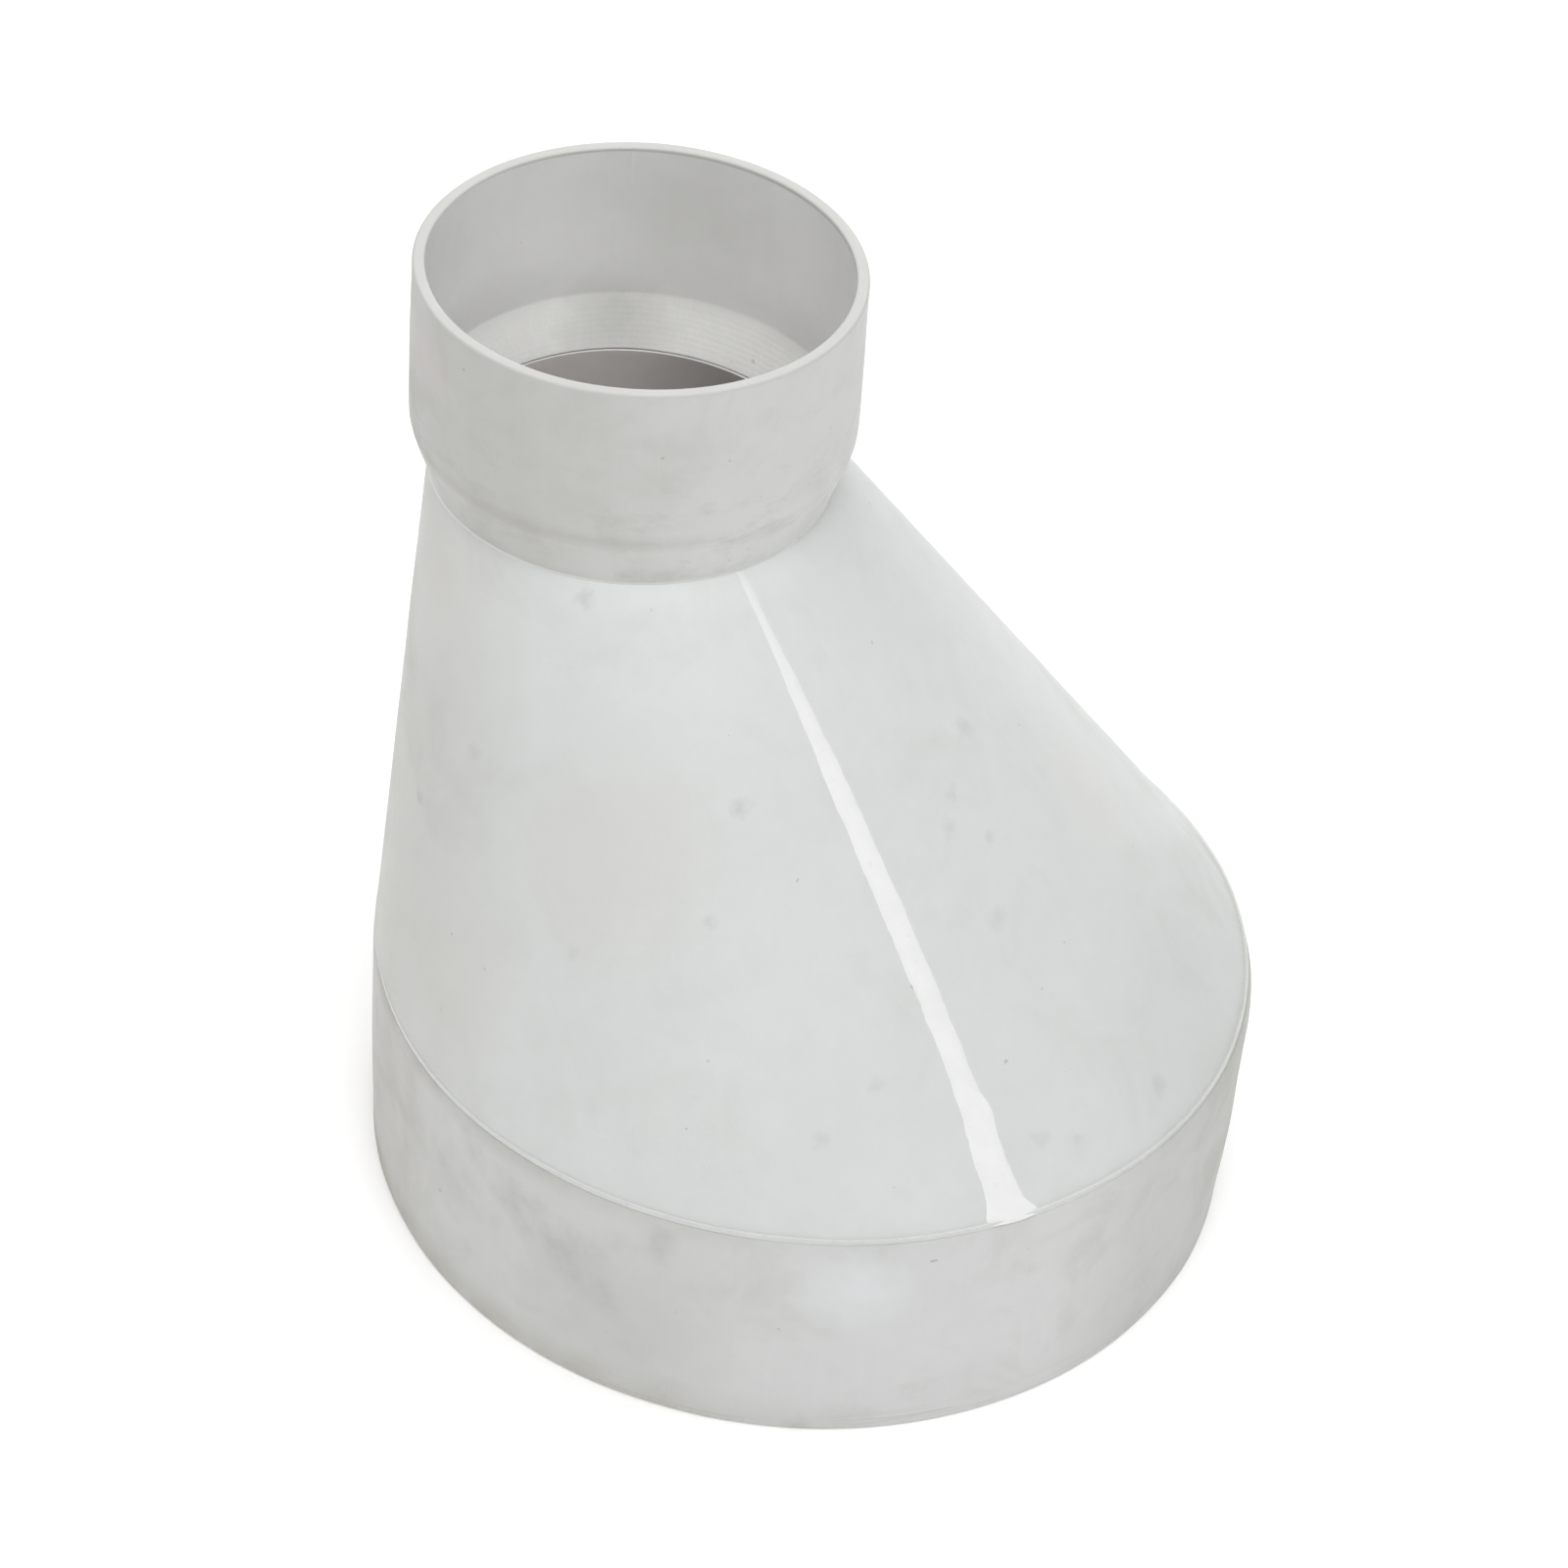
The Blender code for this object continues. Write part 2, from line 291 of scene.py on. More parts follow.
def small_socket(material, lining):
    """The small end: straight pipe, then a round shoulder into the neck. Its necked part was
    formed hot over a mandrel, which left fine rings inside."""
    outer, inner = SMALL_R, SMALL_R - SMALL_WALL
    neck_inner = NECK_R - NECK_WALL
    bottom = NECK_Z + HALF_GAP
    corners = [
        (outer, TOP_Z, RIM_ROUND),
        (outer, BEND_Z, SHOULDER_ROUND),
        (NECK_R, bottom, 0.5 * MM),
        (neck_inner, bottom, 0.5 * MM),
        (inner, BEND_Z - 0.4 * MM, INNER_BEND_ROUND),
        (inner, TOP_Z, RIM_ROUND),
    ]

    def formed(point, axis_x):
        """The small end is most out of round at its bend, and its rim is tilted."""
        out = Vector((point.x - axis_x, point.y, 0.0))
        azimuth = math.atan2(out.y, out.x)
        share = ramp(point.z, NECK_Z, BEND_Z)
        drawn_in = 1 - 0.45 * ramp(point.z, BEND_Z + 18 * MM, TOP_Z)
        bulge = oval(out, SOCKET_OVAL) * share * drawn_in
        moved = handled(point, axis_x) + out.normalized() * bulge
        high_side = math.cos(azimuth - math.radians(RIM_HIGH_SIDE))
        moved.z += RIM_TILT * max(0.0, high_side) * share
        inside = out.length < inner - 0.35 * MM
        if inside and point.z < BEND_Z:
            drift = 0.4 * noise.noise(Vector((math.cos(azimuth), math.sin(azimuth), 2.0)) * 1.5)
            ridge = math.sin(math.tau * (point.z / RING_PITCH + drift))
            moved -= out.normalized() * RING_HEIGHT * ridge
        return moved

    piece = ring("small_socket_pipe", corners, SMALL_X, formed, FINE_STEP)
    finish_piece(piece, "small_socket", material)
    line_inside(piece, lambda z: SMALL_X, lining)


def cone_share(z):
    return (z - BASE_Z) / (NECK_Z - BASE_Z)


def cone_circle(z):
    """The cone's outside at height z: centre x and radius."""
    t = cone_share(z)
    return SMALL_X * t, COLLAR_R + (NECK_R - COLLAR_R) * t


def lean(azimuth):
    """The direction straight up the cone at this azimuth."""
    around = Vector((math.cos(azimuth), math.sin(azimuth), 0.0))
    rise = Vector((SMALL_X, 0.0, NECK_Z - BASE_Z))
    return (rise - around * (COLLAR_R - NECK_R)).normalized()


def cone_normal(azimuth):
    tangent = Vector((-math.sin(azimuth), math.cos(azimuth), 0.0))
    return tangent.cross(lean(azimuth)).normalized()


def cone_point(azimuth, z, depth=0.0):
    """A point at this height, depth below the cone's outside measured square to it."""
    centre_x, radius = cone_circle(z)
    around = Vector((math.cos(azimuth), math.sin(azimuth), 0.0))
    level = depth / max(cone_normal(azimuth).dot(around), 0.3)
    point = Vector((centre_x, 0.0, z)) + around * (radius - level)
    shift = handled(point, centre_x) - point
    bulge = rolled(azimuth, z)
    return point + shift + around * bulge


def seam_azimuth(z):
    t = cone_share(z)
    return SEAM_AZIMUTH_BASE + t * (SEAM_AZIMUTH_NECK - SEAM_AZIMUTH_BASE)


def rolled(azimuth, z):
    """How rolling has left the sheet: a little proud along the seam and faintly ribbed up the
    cone, both fading out at the round joints."""
    fade = math.sin(math.pi * min(max(cone_share(z), 0.0), 1.0)) ** 0.5
    away = math.remainder(azimuth - seam_azimuth(z), math.tau)
    ridge = SEAM_RIDGE * math.exp(-((away / SEAM_RIDGE_REACH) ** 2))
    ribs = RIB_HEIGHT * noise.noise(Vector((azimuth * 3.5, z / (90 * MM), 4.2)))
    return fade * (ridge + ribs)


def cone_shell(material, lining):
    """The rolled sheet: a strip that starts on one side of the seam's groove and ends on the
    other."""
    low, high = BASE_Z + HALF_GAP, NECK_Z - HALF_GAP
    corners = [
        (0.0, high, 0.5 * MM),
        (0.0, low, 0.5 * MM),
        (SHEET, low, 0.3 * MM),
        (SHEET, high, 0.3 * MM),
    ]
    profile = outline(corners)
    sections = []
    for step in range(AROUND + 1):
        section = []
        for depth, z in profile:
            t = cone_share(z)
            groove = SEAM_GROOVE_BASE + t * (SEAM_GROOVE_NECK - SEAM_GROOVE_BASE)
            width = groove + depth / SHEET * (SEAM_ROOT - groove)
            radius = cone_circle(z)[1]
            half = width / 2 / radius
            azimuth = seam_azimuth(z) + half + (math.tau - 2 * half) * step / AROUND
            section.append(cone_point(azimuth, z, depth))
        sections.append(section)
    piece = sweep("cone_sheet", sections, closed=False)
    finish_piece(piece, "cone_shell", material)
    line_inside(piece, lambda z: cone_circle(z)[0], lining)


def between(stops, t):
    """A smooth curve through stops of (t, value)."""
    t = min(max(t, stops[0][0]), stops[-1][0])
    for (t0, v0), (t1, v1) in zip(stops, stops[1:]):
        if t <= t1:
            share = (t - t0) / (t1 - t0)
            return v0 + (v1 - v0) * share * share * (3 - 2 * share)
    return stops[-1][1]


# The seam bead's reach to its two sides, as (share of the way up, mm): laid in more passes
# towards the base, with a step and a foot that spreads to one side.
SEAM_LEFT = ((0.0, 8.2), (0.04, 6.9), (0.1, 5.6), (0.18, 4.2), (0.26, 3.4), (0.36, 3.5),
             (0.5, 3.5), (0.66, 3.1), (0.8, 2.2), (0.9, 1.5), (1.0, 1.3))
SEAM_RIGHT = ((0.0, 7.0), (0.035, 4.2), (0.1, 3.5), (0.165, 4.4), (0.2, 3.2), (0.36, 3.5),
              (0.5, 3.2), (0.66, 2.9), (0.8, 2.2), (0.9, 1.6), (1.0, 1.3))


def cone_seam_weld(material):
    """The bead along the seam: a ragged crown on the outside and a narrow root inside."""
    rows = 260
    across_steps = 14
    low, high = BASE_Z + 0.3 * MM, NECK_Z - 0.2 * MM
    sections = []
    for row in range(rows + 1):
        z = low + (high - low) * row / rows
        t = cone_share(z)
        azimuth = seam_azimuth(z)
        radius = cone_circle(z)[1]
        rag = Vector((z / (5.5 * MM), 0.0, 0.0))
        fine = Vector((z / (1.7 * MM), 0.0, 0.0))
        sides = []
        for stops, seed in ((SEAM_RIGHT, 1.3), (SEAM_LEFT, 7.9)):
            offset = Vector((0.0, seed, 0.0))
            uneven = 0.13 * noise.noise(rag + offset) + 0.05 * noise.noise(fine + offset)
            sides.append(between(stops, t) * MM * (1 + uneven))
        right, left = sides
        crown = (0.35 + 0.5 * (1 - t)) * MM * (1 + 0.3 * noise.noise(rag * 0.8))
        section = []
        for k in range(across_steps + 1):
            share = 1 - 2 * k / across_steps
            side = right * share if share > 0 else left * share
            rise = (1 - abs(share) ** 2.4) * crown
            ripple = 0.06 * MM * noise.noise(Vector((z / (1.3 * MM), share * 2.2, 5.0)))
            out = -0.15 * MM + rise + ripple * (1 - share * share)
            section.append((side, out))
        groove = (SEAM_GROOVE_BASE + t * (SEAM_GROOVE_NECK - SEAM_GROOVE_BASE)) / 2
        root = SEAM_ROOT / 2 * (1 + 0.4 * noise.noise(fine + Vector((0.0, 0.0, 9.0))))
        section += [(-min(groove, left * 0.9), -0.5 * MM), (-root, -SHEET - 0.15 * MM),
                    (root, -SHEET - 0.15 * MM), (min(groove, right * 0.9), -0.5 * MM)]
        sections.append([cone_point(azimuth + side / radius, z, -out) for side, out in section])
    piece = sweep("cone_seam_bead", sections, closed=False)
    return finish_piece(piece, "cone_seam_weld", material)


BEAD_DEPTH = 1.1 * MM


def round_bead(name, radius, z, axis_x, shape):
    """A bead around a joint. shape(azimuth) gives its half height, how far it stands proud,
    and how far its middle sits above the joint."""
    sections = []
    steps = AROUND * 3
    loop_steps = 14
    for step in range(steps):
        azimuth = math.tau * step / steps
        around = Vector((math.cos(azimuth), math.sin(azimuth), 0.0))
        half, proud, raised = shape(azimuth)
        section = []
        for k in range(loop_steps):
            turn = math.tau * k / loop_steps
            depth = proud if math.cos(turn) > 0 else BEAD_DEPTH
            here = radius + depth * math.cos(turn)
            point = Vector((axis_x, 0.0, z + raised + half * math.sin(turn))) + around * here
            section.append(handled(point, axis_x))
        sections.append(section)
    return sweep(name, sections, closed=True)


def ragged(azimuth, radius, reach, seed):
    """Unevenness along a round bead, the same after a full turn."""
    place = Vector((math.cos(azimuth), math.sin(azimuth), 0.0)) * (radius / reach)
    return noise.noise(place + Vector((0.0, 0.0, seed)))


def base_weld(material):
    def shape(azimuth):
        slow = ragged(azimuth, COLLAR_R, 26 * MM, 2.0)
        quick = ragged(azimuth, COLLAR_R, 3.2 * MM, 6.0)
        heap = max(0.0, math.cos(azimuth - math.radians(14))) ** 8
        half = (0.75 + 0.14 * slow + 0.04 * quick + 0.1 * heap) * MM
        return half, (0.12 + 0.03 * quick + 0.06 * heap) * MM, 0.35 * MM

    piece = round_bead("base_weld_bead", COLLAR_R - 0.05 * MM, BASE_Z, 0.0, shape)
    return finish_piece(piece, "base_weld", material)


def neck_weld(material):
    def shape(azimuth):
        slow = ragged(azimuth, NECK_R, 20 * MM, 3.0)
        quick = ragged(azimuth, NECK_R, 2.6 * MM, 5.0)
        heavy = 0.5 + 0.5 * math.cos(azimuth + math.radians(20))
        half = (0.65 + 0.3 * heavy + 0.15 * slow + 0.05 * quick) * MM
        return half, (0.08 + 0.08 * heavy + 0.03 * quick) * MM, -0.25 * MM

    piece = round_bead("neck_weld_bead", NECK_R, NECK_Z, SMALL_X, shape)
    return finish_piece(piece, "neck_weld", material)


# Materials

class Look:
    """A Principled material and short ways to add nodes to it."""

    def __init__(self, name):
        self.material = bpy.data.materials.new(name)
        self.material.use_nodes = True
        self.tree = self.material.node_tree
        self.shader = self.tree.nodes["Principled BSDF"]
        self.place = self.add("ShaderNodeTexCoord").outputs["Object"]

    def add(self, kind, **settings):
        node = self.tree.nodes.new(kind)
        for key, value in settings.items():
            setattr(node, key, value)
        return node

    def put(self, socket, value):
        """Links an output to an input, or sets the input to a plain value."""
        if isinstance(value, bpy.types.NodeSocket):
            self.tree.links.new(value, socket)
        else:
            socket.default_value = value

    def stretched(self, scale, turn=(0.0, 0.0, 0.0)):
        node = self.add("ShaderNodeMapping")
        self.put(node.inputs["Vector"], self.place)
        node.inputs["Rotation"].default_value = Euler(turn)
        node.inputs["Scale"].default_value = scale
        return node.outputs["Vector"]

    def cloud(self, scale, detail=3.0, roughness=0.5, place=None, distortion=0.0):
        node = self.add("ShaderNodeTexNoise")
        self.put(node.inputs["Vector"], place or self.place)
        node.inputs["Scale"].default_value = scale
        node.inputs["Detail"].default_value = detail
        node.inputs["Roughness"].default_value = roughness
        node.inputs["Distortion"].default_value = distortion
        return node.outputs["Fac"]

    def height(self):
        node = self.add("ShaderNodeSeparateXYZ")
        self.put(node.inputs["Vector"], self.place)
        return node.outputs["Z"]

    def towards(self, side):
        """How far a point lies out in one level direction, an azimuth in degrees."""
        azimuth = math.radians(side)
        node = self.add("ShaderNodeVectorMath", operation="DOT_PRODUCT")
        self.put(node.inputs[0], self.place)
        node.inputs[1].default_value = (math.cos(azimuth), math.sin(azimuth), 0.0)
        return node.outputs["Value"]

    def smeared(self, amount, scale):
        """The place with a noisy shift, for ragged outlines."""
        shift = self.add("ShaderNodeTexNoise")
        self.put(shift.inputs["Vector"], self.place)
        shift.inputs["Scale"].default_value = scale
        shift.inputs["Detail"].default_value = 3.0
        middle = self.add("ShaderNodeVectorMath", operation="SUBTRACT")
        self.put(middle.inputs[0], shift.outputs["Color"])
        middle.inputs[1].default_value = (0.5, 0.5, 0.5)
        scaled = self.add("ShaderNodeVectorMath", operation="SCALE")
        self.put(scaled.inputs[0], middle.outputs["Vector"])
        scaled.inputs["Scale"].default_value = amount
        total = self.add("ShaderNodeVectorMath", operation="ADD")
        self.put(total.inputs[0], self.place)
        self.put(total.inputs[1], scaled.outputs["Vector"])
        return total.outputs["Vector"]

    def blots(self, marks, place):
        """Soft spots: the strongest of marks, each (centre, reach, strength)."""
        total = None
        for centre, reach, strength in marks:
            away = self.add("ShaderNodeVectorMath", operation="DISTANCE")
            self.put(away.inputs[0], place)
            away.inputs[1].default_value = centre
            spot = self.span(away.outputs["Value"], reach * 0.25, reach, strength, 0.0)
            total = spot if total is None else self.math("MAXIMUM", total, spot)
        return total

    def specks(self, scale, share, largest):
        """Scattered dots of uneven size: share of the cells hold one, largest is the widest
        dot's radius as a part of a cell."""
        cells = self.add("ShaderNodeTexVoronoi")
        self.put(cells.inputs["Vector"], self.smeared(0.6 / scale, scale * 2.5))
        cells.inputs["Scale"].default_value = scale
        draw = self.add("ShaderNodeSeparateColor")
        self.put(draw.inputs["Color"], cells.outputs["Color"])
        radius = self.span(draw.outputs["Red"], 1.0 - share, 1.0, 0.0, largest)
        inside = self.math("SUBTRACT", radius, cells.outputs["Distance"])
        return self.span(inside, 0.0, largest * 0.35)

    def span(self, value, low, high, to_low=0.0, to_high=1.0):
        """value from low..high to to_low..to_high, held at both ends."""
        node = self.add("ShaderNodeMapRange")
        self.put(node.inputs["Value"], value)
        node.inputs["From Min"].default_value = low
        node.inputs["From Max"].default_value = high
        node.inputs["To Min"].default_value = to_low
        node.inputs["To Max"].default_value = to_high
        return node.outputs["Result"]

    def math(self, operation, a, b):
        node = self.add("ShaderNodeMath", operation=operation)
        self.put(node.inputs[0], a)
        self.put(node.inputs[1], b)
        return node.outputs["Value"]

    def times(self, a, b):
        return self.math("MULTIPLY", a, b)

    def off(self, value, middle):
        """How far value is from middle, either way."""
        return self.math("ABSOLUTE", self.math("SUBTRACT", value, middle), 0.0)

    def tint(self, share, tone, factor):
        """tone multiplied by the colour factor, as far as share says."""
        return self.mix(share, tone, factor, "MULTIPLY")

    def mix(self, share, a, b, blend="MIX"):
        node = self.add("ShaderNodeMix", data_type="RGBA", blend_type=blend)
        self.put(node.inputs["Factor"], share)
        for name, value in (("A", a), ("B", b)):
            socket = next(s for s in node.inputs if s.name == name and s.type == "RGBA")
            self.put(socket, (*value, 1.0) if isinstance(value, tuple) else value)
        return next(s for s in node.outputs if s.type == "RGBA")

    def bump(self, height, distance, below=None):
        node = self.add("ShaderNodeBump")
        node.inputs["Distance"].default_value = distance
        self.put(node.inputs["Height"], height)
        if below is not None:
            self.put(node.inputs["Normal"], below)
        return node.outputs["Normal"]


def shade(colour, factor):
    return tuple(c * factor for c in colour)


PVC_IOR = 1.53

# Three families of fine scratches: the stretch and the turn of the noise that draws each.
SCRATCHES = (
    ((30.0, 900.0, 900.0), (0.4, 0.2, 0.9)),
    ((900.0, 26.0, 900.0), (0.7, -0.3, 0.4)),
    ((800.0, 800.0, 22.0), (-0.5, 0.6, 0.2)),
)


def worn_plastic(look, colour, dirt, film_amount, streak):
    """Rigid PVC as it comes from a workshop: clouded, lightly dirtied, speckled and scuffed.
    streak is the stretch of its faint drawing lines. Returns its colour, its film of dirt, its
    scratches and its drawing lines, for finish_plastic."""
    clouds = look.span(look.cloud(16.0, 4.0, 0.55), 0.3, 0.7)
    tone = look.mix(clouds, shade(colour, 0.97), shade(colour, 1.02))
    mottle = look.span(look.cloud(150.0, 3.0, 0.5), 0.35, 0.65, 0.0, 0.35)
    tone = look.mix(mottle, tone, shade(colour, 0.955))

    lines = look.cloud(1.0, 3.0, 0.6, look.stretched(streak))
    tone = look.mix(look.span(lines, 0.45, 0.75, 0.0, 0.2), tone, shade(colour, 1.04))

    film = look.span(look.cloud(38.0, 7.0, 0.62, distortion=0.6), 0.50, 0.76)
    tone = look.mix(look.times(film, film_amount), tone, dirt)

    where = look.span(look.cloud(22.0, 2.0), 0.42, 0.60, 0.25, 1.0)
    speck = look.times(look.specks(160.0, 0.25, 0.12), where)
    tone = look.mix(look.times(speck, 0.5), tone, shade(dirt, 0.5))

    scratch = None
    for scale, turn in SCRATCHES:
        drawn = look.span(look.cloud(1.0, 2.0, 0.5, look.stretched(scale, turn)), 0.66, 0.72)
        scratch = drawn if scratch is None else look.math("MAXIMUM", scratch, drawn)
    handled_here = look.span(look.cloud(30.0, 3.0), 0.45, 0.62)
    scratch = look.times(scratch, handled_here)
    tone = look.mix(look.times(scratch, 0.2), tone, shade(colour, 1.1))
    return tone, film, scratch, lines


def finish_plastic(look, tone, film, scratch, lines, roughness):
    """Puts the colour on the shader, with a roughness that varies about the given one and the
    relief of waves, drawing lines, grain and scratches."""
    grain = look.cloud(1100.0, 2.0)
    look.put(look.shader.inputs["Base Color"], tone)
    rough = look.cloud(55.0, 5.0, 0.6)
    rough = look.span(rough, 0.3, 0.7, roughness - 0.06, roughness + 0.09)
    rough = look.math("ADD", rough, look.times(film, 0.14))
    rough = look.math("ADD", rough, look.times(scratch, 0.12))
    look.put(look.shader.inputs["Roughness"], rough)
    look.shader.inputs["IOR"].default_value = PVC_IOR
    normal = look.bump(look.cloud(90.0, 4.0, 0.5), 0.14 * MM)
    normal = look.bump(lines, 0.05 * MM, normal)
    normal = look.bump(grain, 0.03 * MM, normal)
    normal = look.bump(scratch, -0.03 * MM, normal)
    look.put(look.shader.inputs["Normal"], normal)
    return look.material


def on_collar(azimuth, z):
    azimuth = math.radians(azimuth)
    return Vector((COLLAR_R * math.cos(azimuth), COLLAR_R * math.sin(azimuth), z * MM))


def on_cone(azimuth, z):
    return cone_point(math.radians(azimuth), z * MM)


# Plastics and the dirt on them. The pipe's dirt colour also paints shade under the collar's
# bead and round the small end's bend.
PIPE_COLOUR = (0.622, 0.624, 0.613)
PIPE_DIRT_AND_SHADE = (0.44, 0.43, 0.40)
SHEET_COLOUR = (0.672, 0.688, 0.682)
SHEET_DIRT = (0.48, 0.475, 0.45)

# Stretches of the noise that draws lines: up the piece as it was drawn, round it as it was
# sawn, and faintly up it where it was scuffed.
DRAWN_PIPE = (420.0, 420.0, 9.0)
DRAWN_SHEET = (260.0, 260.0, 12.0)
SAWN_END = (28.0, 28.0, 1300.0)
SCUFFED = (60.0, 60.0, 130.0)

# The collar's marks, and tints that paint light and shade on it.
PALE_PATCH = (0.70, 0.72, 0.72)
DIM_PATCH = (0.53, 0.53, 0.52)
SMUDGE = (0.43, 0.428, 0.405)
GRIME = (0.42, 0.40, 0.32)
SAW_MARK = (0.40, 0.39, 0.34)
FRONT_LIGHT_TINT = (1.053, 1.066, 1.077)
RIGHT_SHADE_TINT = (0.84, 0.84, 0.83)
FAR_RIGHT_SHADE_TINT = (0.92, 0.92, 0.89)
LEFT_SHADE_TINT = (0.88, 0.865, 0.835)


def collar_look():
    look = Look("collar_pvc")
    tone, film, scratch, lines = worn_plastic(look, PIPE_COLOUR, PIPE_DIRT_AND_SHADE, 0.34, DRAWN_PIPE)
    ragged_place = look.smeared(16 * MM, 90.0)
    height = look.height()

    pale = look.blots([(on_collar(-59, 50), 17 * MM, 0.7), (on_collar(82, 30), 25 * MM, 0.5)],
                      ragged_place)
    tone = look.mix(pale, tone, PALE_PATCH)
    # Painted light: the collar's front made lighter, where the lamps fall on it.
    painted_light = look.span(look.towards(-50), 100 * MM, 114 * MM, 0.0, 0.8)
    tone = look.tint(painted_light, tone, FRONT_LIGHT_TINT)
    dim = look.blots([(on_collar(-88, 26), 34 * MM, 0.6)], ragged_place)
    tone = look.mix(dim, tone, DIM_PATCH)

    smudges = look.blots([
        (on_collar(-104, 49), 11 * MM, 0.50), (on_collar(-96, 42), 12 * MM, 0.55),
        (on_collar(-84, 58), 8 * MM, 0.50), (on_collar(-27, 46), 10 * MM, 0.35),
        (on_collar(-92, 32), 9 * MM, 0.45), (on_collar(-112, 58), 9 * MM, 0.40),
        (on_collar(-116, 40), 14 * MM, 0.35), (on_collar(37, 40), 16 * MM, 0.40),
        (on_collar(132, 34), 18 * MM, 0.40), (on_collar(-65, 3), 6 * MM, 0.60),
    ], ragged_place)
    broken = look.span(look.cloud(130.0, 5.0, 0.65), 0.35, 0.60, 0.25, 1.0)
    tone = look.mix(look.times(smudges, broken), tone, SMUDGE)

    low = look.span(height, 0.0, 12 * MM, 1.0, 0.0)
    side = look.span(look.towards(-135), 20 * MM, 100 * MM, 0.05, 0.9)
    patches = look.span(look.cloud(60.0, 5.0, 0.6), 0.32, 0.62, 0.35, 1.0)
    grime = look.times(look.times(low, side), patches)
    tone = look.mix(look.times(grime, 0.75), tone, GRIME)

    sawn = look.cloud(1.0, 3.0, 0.6, look.stretched(SAWN_END))
    near_end = look.span(height, 2 * MM, 8 * MM, 1.0, 0.0)
    marks = look.times(look.span(sawn, 0.52, 0.66), near_end)
    tone = look.mix(look.times(marks, 0.35), tone, SAW_MARK)

    # Darker just under the bead, most on the left: partly dirt, partly painted shade.
    under_bead = look.span(height, BASE_Z - 7 * MM, BASE_Z - 1 * MM)
    under_bead = look.times(under_bead, patches)
    left = look.span(look.towards(-125), 60 * MM, 105 * MM, 0.06, 0.6)
    tone = look.mix(look.times(under_bead, left), tone, PIPE_DIRT_AND_SHADE)

    # Painted shade: the collar darker on its right and far right, and darker and warmer on its
    # left, where less light falls.
    tone = look.tint(look.span(look.towards(12), 84 * MM, 115 * MM), tone, RIGHT_SHADE_TINT)
    tone = look.tint(look.span(look.towards(RIGHT), 103 * MM, 114 * MM), tone, FAR_RIGHT_SHADE_TINT)
    tone = look.tint(look.span(look.towards(-150), 96 * MM, 115 * MM), tone, LEFT_SHADE_TINT)
    return finish_plastic(look, tone, film, scratch, lines, 0.46)


# The small end's marks, and tints that paint light and shade on it.
SOCKET_LEFT_SHADE_TINT = (0.80, 0.80, 0.775)
SOCKET_LIGHT_TINT = (1.05, 1.05, 1.05)
NECK_LIGHT_TINT = (1.11, 1.11, 1.115)
JOINT_DIRT = (0.44, 0.43, 0.38)
WARM_MARK = (0.585, 0.545, 0.53)
WARM_PLACE = Vector((-0.096, -0.043, 0.242))
CUT_RIM = (0.56, 0.562, 0.545)


def socket_look():
    look = Look("socket_pvc")
    tone, film, scratch, lines = worn_plastic(look, PIPE_COLOUR, PIPE_DIRT_AND_SHADE, 0.30, DRAWN_PIPE)
    height = look.height()
    patches = look.span(look.cloud(70.0, 5.0, 0.6), 0.32, 0.62, 0.4, 1.0)

    # Painted shade: the small end's left side darker, where less light falls.
    left_shade = look.span(look.towards(-118), 42 * MM, 74 * MM, 0.0, 0.74)
    left_shade = look.times(left_shade, look.span(look.cloud(45.0, 4.0, 0.6), 0.3, 0.7, 0.8, 1.1))
    tone = look.tint(left_shade, tone, SOCKET_LEFT_SHADE_TINT)
    # Painted light: the small end's right front lighter, where the lamps fall on it.
    painted_light = look.span(look.towards(-35), -22 * MM, -4 * MM, 0.0, 0.6)
    tone = look.tint(painted_light, tone, SOCKET_LIGHT_TINT)

    # Painted light: the neck below the bend lighter on the right front, for light bounced up
    # from the floor.
    lit = look.span(height, BEND_Z - 4 * MM, BEND_Z + 4 * MM, 1.0, 0.0)
    lit = look.times(lit, look.span(look.towards(-30), -36 * MM, -14 * MM))
    tone = look.tint(lit, tone, NECK_LIGHT_TINT)

    # Darker round the bend on the front: partly dirt, partly painted shade on the down-facing
    # shoulder.
    bend = look.span(look.off(height, BEND_Z - 0.5 * MM), 0.4 * MM, 3.4 * MM, 1.0, 0.0)
    front = look.span(look.towards(-105), 34 * MM, 60 * MM, 0.05, 1.0)
    bend = look.times(look.times(bend, patches), front)
    tone = look.mix(look.times(bend, 0.8), tone, PIPE_DIRT_AND_SHADE)

    joint = look.span(height, NECK_Z, NECK_Z + 3 * MM, 1.0, 0.0)
    joint = look.times(look.times(joint, patches), front)
    tone = look.mix(look.times(joint, 0.3), tone, JOINT_DIRT)
    # A faint darker band on the neck just below the bend: partly dirt, partly painted shade
    # where the neck faces down.
    band = look.span(height, BEND_Z - 5 * MM, BEND_Z - 2 * MM, 0.12, 0.0)
    tone = look.mix(look.times(band, front), tone, PIPE_DIRT_AND_SHADE)

    scuffs = look.cloud(1.0, 5.0, 0.65, look.stretched(SCUFFED))
    scuffs = look.span(scuffs, 0.52, 0.68)
    lower = look.span(height, BEND_Z + 2 * MM, BEND_Z + 26 * MM, 0.42, 0.12)
    tone = look.mix(look.times(scuffs, lower), tone, shade(PIPE_DIRT_AND_SHADE, 0.95))

    warm = look.blots([(WARM_PLACE, 13 * MM, 0.6)], look.smeared(10 * MM, 120.0))
    tone = look.mix(warm, tone, WARM_MARK)

    cut = look.span(height, TOP_Z - 0.9 * MM, TOP_Z - 0.35 * MM)
    tone = look.mix(cut, tone, CUT_RIM)
    return finish_plastic(look, tone, film, scratch, lines, 0.46)


